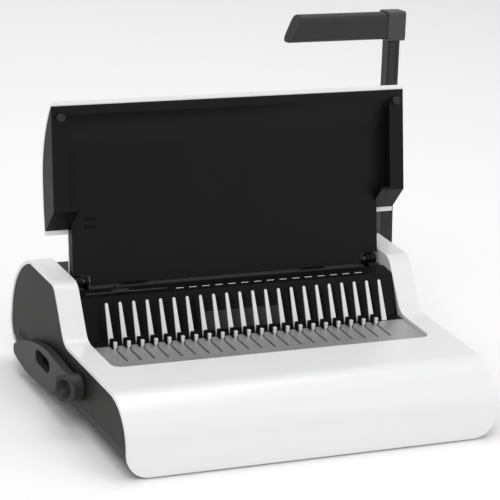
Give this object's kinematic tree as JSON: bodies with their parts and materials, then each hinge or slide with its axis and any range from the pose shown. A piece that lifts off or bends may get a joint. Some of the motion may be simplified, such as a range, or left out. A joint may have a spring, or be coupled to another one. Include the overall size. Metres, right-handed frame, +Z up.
{
  "type": "comb binding machine",
  "caption": "Manual comb binding machine with a punch handle at one side, an opener lever at the other, a folding lid, comb fingers and a chip drawer.",
  "frame": {"origin": "on the table under the middle of the machine, handle and lid included", "axes": "+X to the user's right, +Y to the rear, +Z up"},
  "size_m": [0.436, 0.3186, 0.352],
  "materials": {
    "white_shell": "moulded, glossy",
    "grey_panel": "fine moulded grain",
    "handle_grey": "satin moulded",
    "corner_grey": "satin moulded",
    "pan_dark": "fine moulded grain",
    "foot_rubber": "matte",
    "tray_metal": "zinc coated sheet",
    "finger_metal": "satin silver",
    "black_cover": "satin black",
    "guide_plate": "satin",
    "steel": "ground steel",
    "zinc": "zinc plated",
    "brass": "sintered",
    "lid_dark": "fine moulded grain",
    "hook_white": "moulded",
    "drawer_dark": "moulded"
  },
  "bodies": {
    "machine": {"housing": "white_shell", "left_side_panel": "grey_panel", "right_side_panel": "grey_panel", "bottom_pan": "pan_dark", "feet": "foot_rubber", "tray_plate": "tray_metal", "finger_flange": "black_cover", "comb_fingers": "finger_metal", "hook_guards": "black_cover", "punch_cover": "black_cover", "comb_guide_plate": "guide_plate", "edge_guide_rail": "guide_plate", "rear_cover": "grey_panel", "frame_left": "zinc", "frame_right": "zinc", "frame_ties": "steel", "die_front": "steel", "die_back": "steel", "die_spacer": "steel", "die_bolts": "steel", "bushings": "brass", "hinge_brackets": "black_cover", "hinge_pins": "steel", "lid_rest_pads": "foot_rubber", "rake_rails": "hook_white"},
    "handle": {"handle_arm": "handle_grey", "handle_grip": "handle_grey", "handle_corner": "corner_grey", "hub_cap": "handle_grey", "punch_shaft": "steel", "eccentric_discs": "steel"},
    "punch": {"punch_bar": "steel", "punch_pins": "steel", "punch_yokes": "zinc"},
    "opener": {"opener_lever": "handle_grey", "opener_shaft": "steel", "pinions": "hook_white"},
    "rake": {"rake_plate": "zinc", "rake_hooks": "hook_white", "racks": "hook_white"},
    "lid": {"lid_cover": "white_shell", "lid_liner": "lid_dark", "lid_bumpers": "foot_rubber", "lid_knuckles": "lid_dark"},
    "guide": {"edge_guide": "guide_plate"},
    "drawer": {"chip_drawer": "drawer_dark"}
  },
  "joints": [
    {"name": "handle_pivot", "type": "hinge", "parent": "machine", "child": "handle", "pos_m": [0, 0.1175, 0.053], "axis": [1, 0, 0], "range_deg": [0, 97]},
    {"name": "punch_slide", "type": "slide", "parent": "machine", "child": "punch", "axis": [0, -1, 0], "range_m": [0, 0.00901]},
    {"name": "opener_pivot", "type": "hinge", "parent": "machine", "child": "opener", "pos_m": [0, -0.038, 0.045], "axis": [1, 0, 0], "range_deg": [0, 115]},
    {"name": "rake_slide", "type": "slide", "parent": "machine", "child": "rake", "axis": [0, -1, 0], "range_m": [0, 0.03013]},
    {"name": "lid_hinge", "type": "hinge", "parent": "machine", "child": "lid", "pos_m": [0, 0.062, 0.112], "axis": [1, 0, 0], "range_deg": [0, 111]},
    {"name": "guide_slide", "type": "slide", "parent": "machine", "child": "guide", "axis": [1, 0, 0], "range_m": [-0.014, 0.006]},
    {"name": "drawer_slide", "type": "slide", "parent": "machine", "child": "drawer", "axis": [0, 1, 0], "range_m": [0, 0.11]}
  ],
  "couplings": [
    {"joint": "punch_slide", "follows": "handle_pivot", "m_per_rad": 0.005309},
    {"joint": "rake_slide", "follows": "opener_pivot", "m_per_rad": 0.015}
  ]
}
